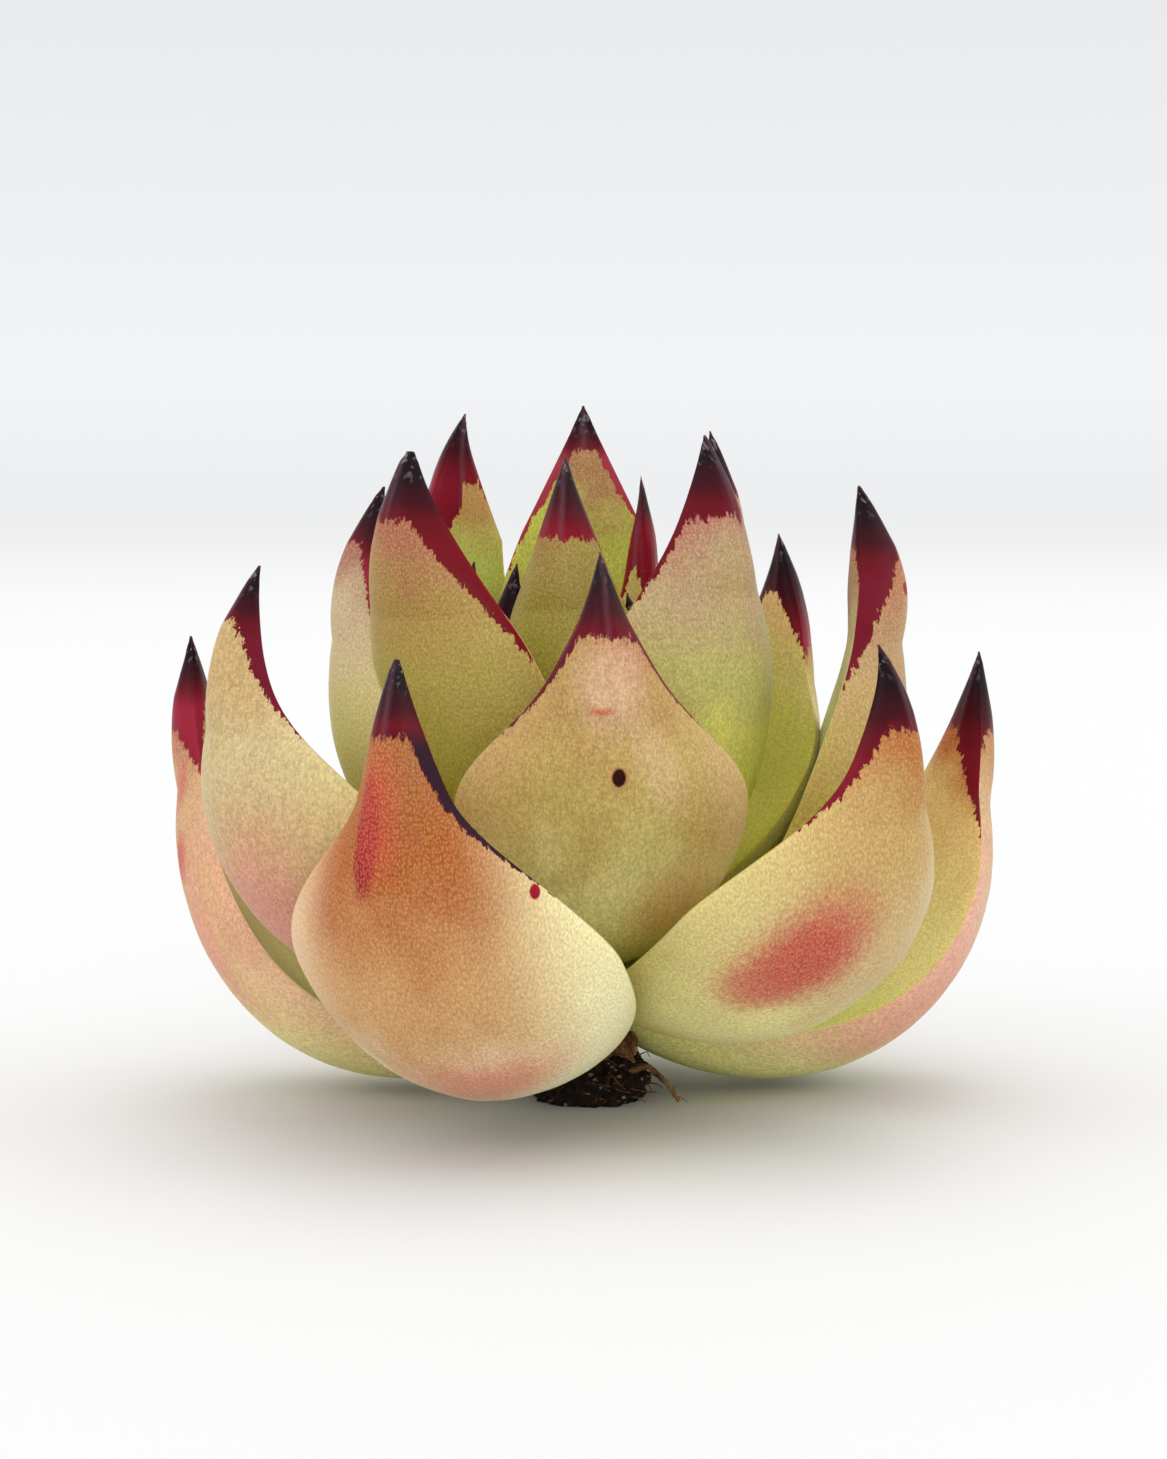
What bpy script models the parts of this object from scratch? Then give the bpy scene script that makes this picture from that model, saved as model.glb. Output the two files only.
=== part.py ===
"""A cup-shaped succulent rosette, lifted out of its pot and standing on its own root clump.

Run with: blender --background --python part.py
Metres, +Z up. The origin is at the middle of the root clump's flat underside, and the stem
stands on the Z axis. Azimuths are in degrees, counter-clockwise from +X, seen from above.
"""

import math

import bmesh
import bpy
import numpy as np
from mathutils import Vector, noise
from mathutils.bvhtree import BVHTree

# Fit
CLEARANCE = 0.0003  # between any two pieces that touch

# The spiral: each leaf is this far round from the one below it
LEAF_COUNT = 21
SPIRAL_STEP = 137.5
FIRST_AZIMUTH = 248.0
LOWEST_FOOT = 0.0083  # height at which the oldest leaf leaves the stem
LEAF_SPACING = 0.00085  # from one leaf's foot up to the next one's

# Leaf tips, from the oldest (outer) by the tallest (crown) to the youngest (heart)
OUTER_REACH = 0.041  # from the stem's axis to a tip
HEART_REACH = 0.003
OUTER_TIP_HEIGHT = 0.0445
CROWN_TIP_HEIGHT = 0.067
HEART_TIP_HEIGHT = 0.047
CROWN_RANK = 12

# Leaf sections
OUTER_WIDTH = 0.0305
HEART_WIDTH = 0.009
OUTER_BELLY = 0.0064  # from the midline to the swollen outer face
HEART_BELLY = 0.0024
OUTER_FACE = 0.0022  # from the midline to the flat inner face
HEART_FACE = 0.0012
CUPPING = 0.30  # how far the margins turn in, as a share of the half width
FOOT_WIDTH_SHARE = 0.28  # of the leaf's full width, where it meets the stem
FOOT_DEPTH_SHARE = 0.30
WIDEST_AT = 0.50  # along the leaf, from foot to tip
POINT = 1.9  # 1 is a blunt tip, 2 a long drawn-out one

# Leaf midlines, as the two arms of a Bezier curve
OUTER_START_ANGLE = -14.0  # degrees above level
HEART_START_ANGLE = 74.0
OUTER_START_ARM = 0.030
HEART_START_ARM = 0.005
OUTER_END_ARM = 0.027
HEART_END_ARM = 0.014
END_ANGLE = 96.0  # over 90 leans in over the heart

# Stem, root clump and roots
STEM_RADIUS = 0.004
STEM_TOP_RADIUS = 0.0016
STEM_FOOT_HEIGHT = 0.0030
FOOT_SEAT = 0.0006  # how far a leaf or the bud reaches into the stem before it is cut to fit
CLUMP_RADIUS = 0.0080
CLUMP_HEIGHT = 0.0052
BUD_RADIUS = 0.0015
BUD_LENGTH = 0.0090
ROOT_RADIUS = 0.00036
ROOT_TAPER = 0.45

# Mesh fineness
LEAF_RINGS = 13
LEAF_SIDES = 14
ROUND_STEPS = 24

STEM_TOP_HEIGHT = LOWEST_FOOT + LEAF_SPACING * (LEAF_COUNT + 2)

# How single leaves stray from the spiral's rule: round (degrees), out and up (tip), wide, foot (height),
# curl (degrees of end angle), start (degrees), point, lean (of the tip to its left).
STRAYS = {
    0: {"round": 1.8, "up": 0.001, "wide": 0.001, "foot": 0.001, "start": 6, "curl": 2, "lean": -0.0018},
    1: {"round": -4.5, "out": 0.0050, "up": -0.003, "wide": -0.001, "foot": -0.0008, "start": -8,
        "curl": -14},
    2: {"round": 2, "out": 0.0036, "up": -0.003, "foot": -0.0023, "start": -9, "curl": -9},
    3: {"round": 13, "out": 0.0046, "up": -0.0038, "wide": 0.0015, "foot": 0.001, "start": 3, "curl": 1},
    4: {"out": 0.006, "up": -0.008, "foot": -0.0028, "start": -14, "curl": -4},
    5: {"round": -2.5, "out": 0.0042, "up": -0.0008, "wide": 0.0050, "curl": 12},
    6: {"out": -0.0019, "up": 0.0046, "wide": 0.0010},
    7: {"round": -1.5, "out": -0.0075, "up": 0.0100, "wide": -0.0070},
    8: {"round": 9, "up": -0.0050, "wide": 0.0035, "point": -0.1, "lean": -0.0013},
    9: {"round": -4.5, "out": 0.0038, "up": -0.0060},
    10: {"out": -0.0023, "up": -0.0030, "wide": 0.0030, "curl": 8},
    11: {"round": 1, "out": -0.0045, "wide": 0.0068, "point": -0.25},
    12: {"round": -9, "up": 0.0015, "point": -0.5},
    13: {"round": -12.5, "out": 0.0057, "up": -0.0018, "wide": 0.0050, "point": -0.7},
    14: {"out": -0.0009, "up": 0.0025, "wide": 0.0035},
    15: {"up": -0.0080},
    16: {"round": -28, "out": -0.0053, "up": 0.0050, "wide": 0.0020, "point": -0.2, "lean": -0.0006},
    17: {"round": -4.5, "out": 0.0041, "up": 0.0057},
}

WITHERED_LEAF = {
    "azimuth": 305.0,
    "foot": 0.0068,
    "reach": 0.0090,
    "height": 0.0048,
    "width": 0.0036,
    "belly": 0.0005,
    "face": 0.0004,
}

# Each bare root: its points, from inside the clump to its free end.
ROOTS = {
    "root_1": [(0.0040, -0.0030, 0.0030), (0.0066, -0.0042, 0.0039), (0.0084, -0.0048, 0.0024),
               (0.0096, -0.0052, 0.0006)],
    "root_2": [(-0.0035, 0.0040, 0.0022), (-0.0065, 0.0074, 0.0026), (-0.0092, 0.0098, 0.0008),
               (-0.0122, 0.0108, 0.0005)],
    "root_3": [(0.0030, 0.0050, 0.0018), (0.0045, 0.0084, 0.0020), (0.0040, 0.0118, 0.0006),
               (0.0052, 0.0146, 0.0005)],
}


def between(outer, heart, rank, power=1.0):
    """A leaf's own value, from the oldest leaf's to the youngest's."""
    return outer + (heart - outer) * (rank / (LEAF_COUNT - 1)) ** power


def stem_radius_at(height):
    share = min(1.0, max(0.0, (height - LOWEST_FOOT) / (STEM_TOP_HEIGHT - LOWEST_FOOT)))
    return STEM_RADIUS + (STEM_TOP_RADIUS - STEM_RADIUS) * share


def tip_height(rank):
    if rank <= CROWN_RANK:
        share = rank / CROWN_RANK
        return OUTER_TIP_HEIGHT + (CROWN_TIP_HEIGHT - OUTER_TIP_HEIGHT) * share
    share = (rank - CROWN_RANK) / (LEAF_COUNT - 1 - CROWN_RANK)
    return CROWN_TIP_HEIGHT + (HEART_TIP_HEIGHT - CROWN_TIP_HEIGHT) * share ** 1.2


def with_foot_in_stem(plan):
    """Starts the leaf a little inside the stem, whose clearance copy then cuts its foot to fit."""
    plan["foot_radius"] = stem_radius_at(plan["foot"]) - FOOT_SEAT
    return plan


def leaf_plan(rank):
    """Every size and angle of the leaf of this rank, 0 being the oldest."""
    stray = STRAYS.get(rank, {})
    plan = {
        "azimuth": FIRST_AZIMUTH + SPIRAL_STEP * rank + stray.get("round", 0.0),
        "foot": LOWEST_FOOT + LEAF_SPACING * rank + stray.get("foot", 0.0),
        "reach": between(OUTER_REACH, HEART_REACH, rank, 0.95) + stray.get("out", 0.0),
        "height": tip_height(rank) + stray.get("up", 0.0),
        "width": between(OUTER_WIDTH, HEART_WIDTH, rank, 1.3) + stray.get("wide", 0.0),
        "belly": between(OUTER_BELLY, HEART_BELLY, rank),
        "face": between(OUTER_FACE, HEART_FACE, rank),
        "start": between(OUTER_START_ANGLE, HEART_START_ANGLE, rank, 1.3) + stray.get("start", 0.0),
        "start_arm": between(OUTER_START_ARM, HEART_START_ARM, rank, 1.1),
        "end": END_ANGLE + stray.get("curl", 0.0),
        "end_arm": between(OUTER_END_ARM, HEART_END_ARM, rank),
        "point": POINT + stray.get("point", 0.0),
        "lean": stray.get("lean", 0.0),
    }
    return with_foot_in_stem(plan)


def withered_plan():
    plan = dict(WITHERED_LEAF)
    plan.update(start=-5.0, start_arm=0.002, end=-60.0, end_arm=0.001, point=1.2, lean=0.0)
    return with_foot_in_stem(plan)


def outline_share(along, foot_share, point):
    """A leaf's width or depth along it, as a share of the greatest."""
    rising = foot_share + (1 - foot_share) * np.sin(math.pi / 2 * np.clip(along / WIDEST_AT, 0, 1))
    left = np.clip((along - WIDEST_AT) / (1 - WIDEST_AT), 0, 1)
    falling = (1 - left) ** point * (1 + point * left)
    return np.where(along < WIDEST_AT, rising, falling)


def leaf_rings(plan, rings, sides):
    """The leaf's closed sections from foot to tip, an array of (ring, side, xyz), and its apex."""
    azimuth = math.radians(plan["azimuth"])
    outward = np.array([math.cos(azimuth), math.sin(azimuth), 0.0])
    leftward = np.array([-math.sin(azimuth), math.cos(azimuth), 0.0])
    start, end = math.radians(plan["start"]), math.radians(plan["end"])
    first = np.array([plan["foot_radius"], plan["foot"]])
    last = np.array([plan["reach"], plan["height"]])
    second = first + plan["start_arm"] * np.array([math.cos(start), math.sin(start)])
    third = last - plan["end_arm"] * np.array([math.cos(end), math.sin(end)])

    step = np.linspace(0, 1, 200)[:, None]
    midline = ((1 - step) ** 3 * first + 3 * (1 - step) ** 2 * step * second
               + 3 * (1 - step) * step ** 2 * third + step ** 3 * last)
    travelled = np.r_[0, np.cumsum(np.linalg.norm(np.diff(midline, axis=0), axis=1))]
    along = 1 - (1 - np.linspace(0, 1, rings + 1)) ** 1.25  # closer together towards the tip
    along = along[:-1]
    slope = np.gradient(midline, axis=0)

    def on_midline(values):
        return np.stack([np.interp(along * travelled[-1], travelled, values[:, k]) for k in (0, 1)], 1)

    middle, tangent = on_midline(midline), on_midline(slope)
    tangent /= np.linalg.norm(tangent, axis=1)[:, None]
    belly_side = np.stack([tangent[:, 1], -tangent[:, 0]], 1)

    half = 0.5 * plan["width"] * outline_share(along, FOOT_WIDTH_SHARE, plan["point"])
    depth = outline_share(along, FOOT_DEPTH_SHARE, 1.25)
    cup = CUPPING * half * np.sin(math.pi * along) ** 0.7
    turn = np.linspace(0, 2 * math.pi, sides, endpoint=False)
    across = np.cos(turn)
    belly = (1 - across ** 2) ** 0.62 * (np.sin(turn) >= 0)
    face = (1 - across ** 2) ** 0.9 * (np.sin(turn) < 0)

    out = []
    for i in range(rings):
        sideways = half[i] * across + plan["lean"] * along[i] ** 2
        deep = depth[i] * (plan["belly"] * belly - plan["face"] * face) - cup[i] * across ** 2
        radial = middle[i, 0] + belly_side[i, 0] * deep
        height = middle[i, 1] + belly_side[i, 1] * deep
        ring = radial[:, None] * outward + sideways[:, None] * leftward
        ring[:, 2] = height
        out.append(ring)
    apex = last[0] * outward + plan["lean"] * leftward
    apex[2] = last[1]
    return np.array(out), apex


def remove_everything():
    for thing in list(bpy.data.objects):
        bpy.data.objects.remove(thing, do_unlink=True)


def new_collection(name):
    collection = bpy.data.collections.new(name)
    bpy.context.scene.collection.children.link(collection)
    return collection


def material(name, colour, roughness):
    made = bpy.data.materials.new(name)
    made.use_nodes = True
    shader = made.node_tree.nodes["Principled BSDF"]
    shader.inputs["Base Color"].default_value = (*colour, 1.0)
    shader.inputs["Roughness"].default_value = roughness
    shader.inputs["Metallic"].default_value = 0.0
    return made


def object_from_bmesh(name, shape, collection):
    mesh = bpy.data.meshes.new(name)
    shape.to_mesh(mesh)
    shape.free()
    made = bpy.data.objects.new(name, mesh)
    collection.objects.link(made)
    return made


def leaf_object(name, plan, collection):
    """A closed loft through the leaf's sections, with a flat foot and a pointed tip."""
    rings, apex = leaf_rings(plan, LEAF_RINGS, LEAF_SIDES)
    shape = bmesh.new()
    loops = [[shape.verts.new(point) for point in ring] for ring in rings]
    tip = shape.verts.new(apex)
    for lower, upper in zip(loops, loops[1:]):
        for i in range(LEAF_SIDES):
            j = (i + 1) % LEAF_SIDES
            shape.faces.new((lower[i], lower[j], upper[j], upper[i]))
    for i in range(LEAF_SIDES):
        shape.faces.new((loops[-1][i], loops[-1][(i + 1) % LEAF_SIDES], tip))
    shape.faces.new(loops[0][::-1])
    bmesh.ops.recalc_face_normals(shape, faces=shape.faces)
    return object_from_bmesh(name, shape, collection)


def turned_object(name, profile, collection):
    """A solid turned about Z. The profile is (radius, height) from the top down its outer side."""
    shape = bmesh.new()
    points = [shape.verts.new((radius, 0, height)) for radius, height in profile]
    for upper, lower in zip(points, points[1:]):
        shape.edges.new((upper, lower))
    made = object_from_bmesh(name, shape, collection)
    screw = made.modifiers.new("turn", "SCREW")
    screw.steps = ROUND_STEPS
    screw.render_steps = ROUND_STEPS
    screw.use_merge_vertices = True
    screw.merge_threshold = 0.00001
    return settled(made)


def root_object(name, points, collection):
    """A thin tube along the points, tapering to its free end, as a mesh with its caps welded on."""
    curve = bpy.data.curves.new(name, "CURVE")
    curve.dimensions = "3D"
    curve.bevel_depth = ROOT_RADIUS
    curve.bevel_resolution = 1
    curve.resolution_u = 4
    curve.use_fill_caps = True
    spline = curve.splines.new("BEZIER")
    spline.bezier_points.add(len(points) - 1)
    for i, (knot, place) in enumerate(zip(spline.bezier_points, points)):
        knot.co = place
        knot.handle_left_type = knot.handle_right_type = "AUTO"
        knot.radius = 1.0 - ROOT_TAPER * i / (len(points) - 1)
    tube = bpy.data.objects.new(name, curve)
    collection.objects.link(tube)
    evaluated = tube.evaluated_get(bpy.context.evaluated_depsgraph_get())
    mesh = bpy.data.meshes.new_from_object(evaluated)
    shape = bmesh.new()
    shape.from_mesh(mesh)
    bmesh.ops.remove_doubles(shape, verts=shape.verts, dist=0.000002)
    bmesh.ops.recalc_face_normals(shape, faces=shape.faces)
    bpy.data.objects.remove(tube, do_unlink=True)
    bpy.data.meshes.remove(mesh)
    return object_from_bmesh(name, shape, collection)


def clump_object(name, collection):
    """A lump of soil and root crown, domed and uneven, with a flat underside at height 0."""
    shape = bmesh.new()
    bmesh.ops.create_icosphere(shape, subdivisions=3, radius=1.0)
    for vertex in shape.verts:
        away = vertex.co.normalized()
        uneven = 1 + 0.16 * noise.noise(away * 2.1 + Vector((3.1, 0.7, 5.2)))
        uneven += 0.05 * noise.noise(away * 6.3)
        side = CLUMP_RADIUS * uneven
        vertex.co = Vector((away.x * side, away.y * side, away.z * CLUMP_HEIGHT * uneven))
    cut = bmesh.ops.bisect_plane(
        shape, geom=shape.verts[:] + shape.edges[:] + shape.faces[:], dist=0.000001,
        plane_co=(0, 0, 0), plane_no=(0, 0, 1), clear_inner=True)
    rim = [piece for piece in cut["geom_cut"] if isinstance(piece, bmesh.types.BMEdge)]
    bmesh.ops.contextual_create(shape, geom=rim)
    bmesh.ops.recalc_face_normals(shape, faces=shape.faces)
    return object_from_bmesh(name, shape, collection)


def guard_of(piece, collection):
    """A hidden copy of the piece, swollen by the clearance, that its neighbours are cut with."""
    shape = bmesh.new()
    shape.from_mesh(piece.data)
    shape.normal_update()
    moves = [vertex.normal * CLEARANCE * min(2.0, vertex.calc_shell_factor()) for vertex in shape.verts]
    for vertex, move in zip(shape.verts, moves):
        vertex.co += move
    guard = object_from_bmesh(f"guard_{piece.name}", shape, collection)
    guard.hide_render = True
    guard.display_type = "WIRE"
    return guard


def tree_of(thing):
    mesh = thing.data
    return BVHTree.FromPolygons([v.co for v in mesh.vertices], [f.vertices for f in mesh.polygons])


def trimmed(thing, guards):
    """The object less the clearance copies of its neighbours that it would otherwise touch."""
    own = tree_of(thing)
    for guard in guards:
        if own.overlap(tree_of(guard)):
            cut = thing.modifiers.new(guard.name, "BOOLEAN")
            cut.operation = "DIFFERENCE"
            cut.solver = "EXACT"
            cut.object = guard
    return settled(thing)


def settled(thing):
    """Applies the object's modifiers and keeps its main body, without the slivers of a cut."""
    evaluated = thing.evaluated_get(bpy.context.evaluated_depsgraph_get())
    mesh = bpy.data.meshes.new_from_object(evaluated)
    thing.modifiers.clear()
    old = thing.data
    thing.data = mesh
    bpy.data.meshes.remove(old)
    mesh.name = thing.name
    shape = bmesh.new()
    shape.from_mesh(mesh)
    bmesh.ops.remove_doubles(shape, verts=shape.verts, dist=0.000003)
    bmesh.ops.triangulate(shape, faces=shape.faces)
    bodies = separate_bodies(shape)
    main = max(bodies, key=len)
    loose = [vertex for body in bodies if body is not main for vertex in body]
    bmesh.ops.delete(shape, geom=loose, context="VERTS")
    shape.to_mesh(mesh)
    shape.free()
    return thing


def separate_bodies(shape):
    """The vertices of a mesh, in one set for each body that hangs together."""
    left = set(shape.verts)
    bodies = []
    while left:
        body, edge_of_search = set(), [left.pop()]
        while edge_of_search:
            vertex = edge_of_search.pop()
            body.add(vertex)
            for edge in vertex.link_edges:
                other = edge.other_vert(vertex)
                if other in left:
                    left.discard(other)
                    edge_of_search.append(other)
        bodies.append(body)
    return bodies


def smooth(thing):
    thing.data.shade_smooth()
    thing.data.set_sharp_from_angle(angle=math.radians(40))


def stem_profile():
    return [
        (0.0, STEM_TOP_HEIGHT),
        (STEM_TOP_RADIUS * 0.6, STEM_TOP_HEIGHT),
        (STEM_TOP_RADIUS, STEM_TOP_HEIGHT - 0.0006),
        (STEM_RADIUS, LOWEST_FOOT),
        (STEM_RADIUS, STEM_FOOT_HEIGHT),
        (0.0, STEM_FOOT_HEIGHT),
    ]


def bud_profile():
    base = STEM_TOP_HEIGHT - FOOT_SEAT
    return [
        (0.0, base + BUD_LENGTH),
        (BUD_RADIUS * 0.35, base + BUD_LENGTH * 0.78),
        (BUD_RADIUS * 0.85, base + BUD_LENGTH * 0.45),
        (BUD_RADIUS, base + BUD_LENGTH * 0.2),
        (BUD_RADIUS * 0.8, base),
        (0.0, base),
    ]


def leaf_colour(rank):
    """Peach on the sun-lit outer leaves, pale green inside, in linear light."""
    outer, heart = (0.58, 0.33, 0.14), (0.46, 0.50, 0.20)
    return tuple(between(a, b, rank, 0.6) for a, b in zip(outer, heart))


def main():
    remove_everything()
    plant = new_collection("succulent_rosette")
    guards = new_collection("guards")
    root_skin = material("root_bark", (0.16, 0.08, 0.035), 0.85)
    stem_skin = material("stem_skin", (0.36, 0.34, 0.14), 0.6)

    # Each piece is cut to clear the ones before it in this list.
    pieces = [(turned_object("stem", stem_profile(), plant), stem_skin)]
    pieces.append((turned_object("shoot_tip", bud_profile(), plant), stem_skin))
    for name, points in ROOTS.items():
        pieces.append((root_object(name, points, plant), root_skin))
    pieces.append((clump_object("root_clump", plant), material("dark_soil", (0.012, 0.008, 0.006), 0.95)))
    withered = leaf_object("withered_leaf", withered_plan(), plant)
    pieces.append((withered, material("withered_leaf", (0.20, 0.10, 0.045), 0.9)))
    for rank in reversed(range(LEAF_COUNT)):
        leaf = leaf_object(f"leaf_{rank + 1:02d}", leaf_plan(rank), plant)
        pieces.append((leaf, material(f"{leaf.name}_skin", leaf_colour(rank), 0.42)))

    placed = []
    for piece, skin in pieces:
        guard = guard_of(piece, guards)
        trimmed(piece, placed)
        placed.append(guard)
        piece.data.materials.append(skin)
        smooth(piece)


main()
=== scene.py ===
import math
import random

import bmesh
import bpy
import numpy as np
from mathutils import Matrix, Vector, noise
from mathutils.bvhtree import BVHTree


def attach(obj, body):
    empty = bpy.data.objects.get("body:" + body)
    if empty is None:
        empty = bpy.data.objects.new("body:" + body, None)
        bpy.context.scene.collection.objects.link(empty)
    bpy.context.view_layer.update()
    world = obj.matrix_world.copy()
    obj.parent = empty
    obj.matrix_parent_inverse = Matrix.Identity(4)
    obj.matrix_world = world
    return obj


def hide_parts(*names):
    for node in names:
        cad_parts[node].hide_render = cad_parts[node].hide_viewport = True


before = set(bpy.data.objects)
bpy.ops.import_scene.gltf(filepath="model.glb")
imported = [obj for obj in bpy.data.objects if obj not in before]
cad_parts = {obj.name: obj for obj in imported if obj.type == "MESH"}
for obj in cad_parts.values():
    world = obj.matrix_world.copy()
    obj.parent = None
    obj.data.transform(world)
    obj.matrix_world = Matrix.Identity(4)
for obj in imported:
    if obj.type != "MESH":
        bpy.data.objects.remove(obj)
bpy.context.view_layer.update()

# A cup-shaped succulent rosette on its own root clump, in metres, +Z up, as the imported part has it.
# Azimuths are in degrees, counter-clockwise from +X. Leaf 1 is the oldest and lowest.

mm = 0.001


# An sRGB hex colour as linear RGBA, which is what the shaders take.
def linear(hexColour):
    parts = [int(hexColour[i:i + 2], 16) / 255 for i in (1, 3, 5)]
    return (*[c / 12.92 if c <= 0.04045 else ((c + 0.055) / 1.055) ** 2.4 for c in parts], 1.0)


# Sets a node's inputs from values, nodes or sockets. A node passed in gives its main output.
def feed(tree, node, inputs):
    for name, value in inputs.items():
        if isinstance(value, bpy.types.Node):
            value = value.outputs[2 if value.bl_idname == "ShaderNodeMix" else 0]
        if isinstance(value, bpy.types.NodeSocket):
            tree.links.new(value, node.inputs[name])
        else:
            node.inputs[name].default_value = value


# Adds a shader node with its settings, its inputs and, for a colour ramp, its stops as (position, colour).
def addNode(tree, kind, inputs, stops=(), **settings):
    node = tree.nodes.new("ShaderNode" + kind)
    if kind == "Mix" and 6 in inputs:   # sockets 6 and 7 are the colours
        node.data_type = "RGBA"
    for name, value in settings.items():
        setattr(node, name, value)
    feed(tree, node, inputs)
    for position, colour in stops:
        node.color_ramp.elements.new(position).color = colour
    if stops:
        node.color_ramp.elements.remove(node.color_ramp.elements[0])
        node.color_ramp.elements.remove(node.color_ramp.elements[-1])
    return node


# A new material with its surface shader, whose fixed values stand on its own sockets.
def newFinish(name, **surface):
    made = bpy.data.materials.new(name)
    made.use_nodes = True
    tree = made.node_tree
    tree.nodes.clear()
    shader = addNode(tree, "BsdfPrincipled", {})
    for socket, value in surface.items():
        shader.inputs[socket.replace("_", " ")].default_value = value
    addNode(tree, "OutputMaterial", {"Surface": shader})
    return made, tree, shader


# A mesh object from arrays of points and of quads, shaded smooth.
def newMesh(name, points, faces):
    mesh = bpy.data.meshes.new(name)
    mesh.from_pydata(points, [], faces)
    mesh.shade_smooth()
    mesh.update()
    made = bpy.data.objects.new(name, mesh)
    bpy.context.scene.collection.objects.link(made)
    return made


# Hands a finished piece over: it moves with the plant and stands for its solid.
def settlePiece(piece, node, finish):
    piece.data.materials.clear()
    piece.data.materials.append(finish)
    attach(piece, "root")
    if node:
        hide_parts(node)


# The leaves' sizes, as the part has them.
leafRule = {
    "count": 21, "outerCount": 7,
    "spiral": 137.5, "firstAzimuth": 248.0,      # degrees
    "lowestFoot": 8.3, "spacing": 0.85,           # mm, up the stem
    # Pairs run from the outer leaves to the heart, in mm.
    "reach": (41.0, 3.0), "width": (30.5, 9.0), "belly": (6.4, 2.4), "face": (2.2, 1.2),
    "tipHeight": (44.5, 67.0, 47.0), "crownRank": 12,   # mm: outer, crown, heart
    "start": (-14.0, 74.0), "end": 96.0,          # degrees above level
    "startArm": (30.0, 5.0), "endArm": (27.0, 14.0),
    "cupping": 0.30, "footWidth": 0.28, "footDepth": 0.30, "widestAt": 0.50, "point": 1.9,
    "stemRadius": (4.0, 1.6), "footSeat": 0.6,
    "rings": 150, "sides": 96,                    # mesh fineness
}

# How single leaves stray from the rule: round and start and curl in degrees, the others in mm.
strays = {
    0: {"round": 1.8, "up": 1.0, "wide": 1.0, "foot": 1.0, "start": 6, "curl": 2, "lean": -1.8},
    1: {"round": -4.5, "out": 5.0, "up": -3.0, "wide": -1.0, "foot": -0.8, "start": -8, "curl": -14},
    2: {"round": 2, "out": 3.6, "up": -3.0, "foot": -2.3, "start": -9, "curl": -9},
    3: {"round": 13, "out": 4.6, "up": -3.8, "wide": 1.5, "foot": 1.0, "start": 3, "curl": 1},
    4: {"out": 6.0, "up": -8.0, "foot": -2.8, "start": -14, "curl": -4},
    5: {"round": -2.5, "out": 4.2, "up": -0.8, "wide": 5.0, "curl": 12},
    6: {"out": -1.9, "up": 4.6, "wide": 1.0},
    7: {"round": -1.5, "out": -7.5, "up": 10.0, "wide": -7.0},
    8: {"round": 9, "up": -5.0, "wide": 3.5, "point": -0.1, "lean": -1.3},
    9: {"round": -4.5, "out": 3.8, "up": -6.0},
    10: {"out": -2.3, "up": -3.0, "wide": 3.0, "curl": 8},
    11: {"round": 1, "out": -4.5, "wide": 6.8, "point": -0.25},
    12: {"round": -9, "up": 1.5, "point": -0.5},
    13: {"round": -12.5, "out": 5.7, "up": -1.8, "wide": 5.0, "point": -0.7},
    14: {"out": -0.9, "up": 2.5, "wide": 3.5},
    15: {"up": -8.0},
    16: {"round": -28, "out": -5.3, "up": 5.0, "wide": 2.0, "point": -0.2, "lean": -0.6},
    17: {"round": -4.5, "out": 4.1, "up": 5.7},
}


# A size of the leaf of this rank, on its way from the outer leaves to the heart.
def between(size, rank, power=1.0):
    outer, heart = leafRule[size]
    return outer + (heart - outer) * (rank / (leafRule["count"] - 1)) ** power


stemTop = leafRule["lowestFoot"] + leafRule["spacing"] * (leafRule["count"] + 2)


def stemRadiusAt(height):
    share = min(1.0, max(0.0, (height - leafRule["lowestFoot"]) / (stemTop - leafRule["lowestFoot"])))
    foot, crown = leafRule["stemRadius"]
    return foot + (crown - foot) * share


def tipHeight(rank):
    outer, crown, heart = leafRule["tipHeight"]
    if rank <= leafRule["crownRank"]:
        return outer + (crown - outer) * rank / leafRule["crownRank"]
    share = (rank - leafRule["crownRank"]) / (leafRule["count"] - 1 - leafRule["crownRank"])
    return crown + (heart - crown) * share ** 1.2


# Every size and angle of one leaf.
def leafPlan(rank):
    stray = strays.get(rank, {})
    foot = leafRule["lowestFoot"] + leafRule["spacing"] * rank + stray.get("foot", 0)
    return {
        "azimuth": leafRule["firstAzimuth"] + leafRule["spiral"] * rank + stray.get("round", 0),
        "foot": foot,
        "footRadius": stemRadiusAt(foot) - leafRule["footSeat"],
        "reach": between("reach", rank, 0.95) + stray.get("out", 0),
        "height": tipHeight(rank) + stray.get("up", 0),
        "width": between("width", rank, 1.3) + stray.get("wide", 0),
        "belly": between("belly", rank),
        "face": between("face", rank),
        "start": between("start", rank, 1.3) + stray.get("start", 0),
        "startArm": between("startArm", rank, 1.1),
        "end": leafRule["end"] + stray.get("curl", 0),
        "endArm": between("endArm", rank),
        "point": leafRule["point"] + stray.get("point", 0),
        "lean": stray.get("lean", 0),
    }


# A leaf's width or depth along it, as a share of the greatest.
def outlineShare(along, footShare, point):
    rising = footShare + (1 - footShare) * np.sin(math.pi / 2 * np.clip(along / leafRule["widestAt"], 0, 1))
    left = np.clip((along - leafRule["widestAt"]) / (1 - leafRule["widestAt"]), 0, 1)
    falling = (1 - left) ** point * (1 + point * left)
    return np.where(along < leafRule["widestAt"], rising, falling)


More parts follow.
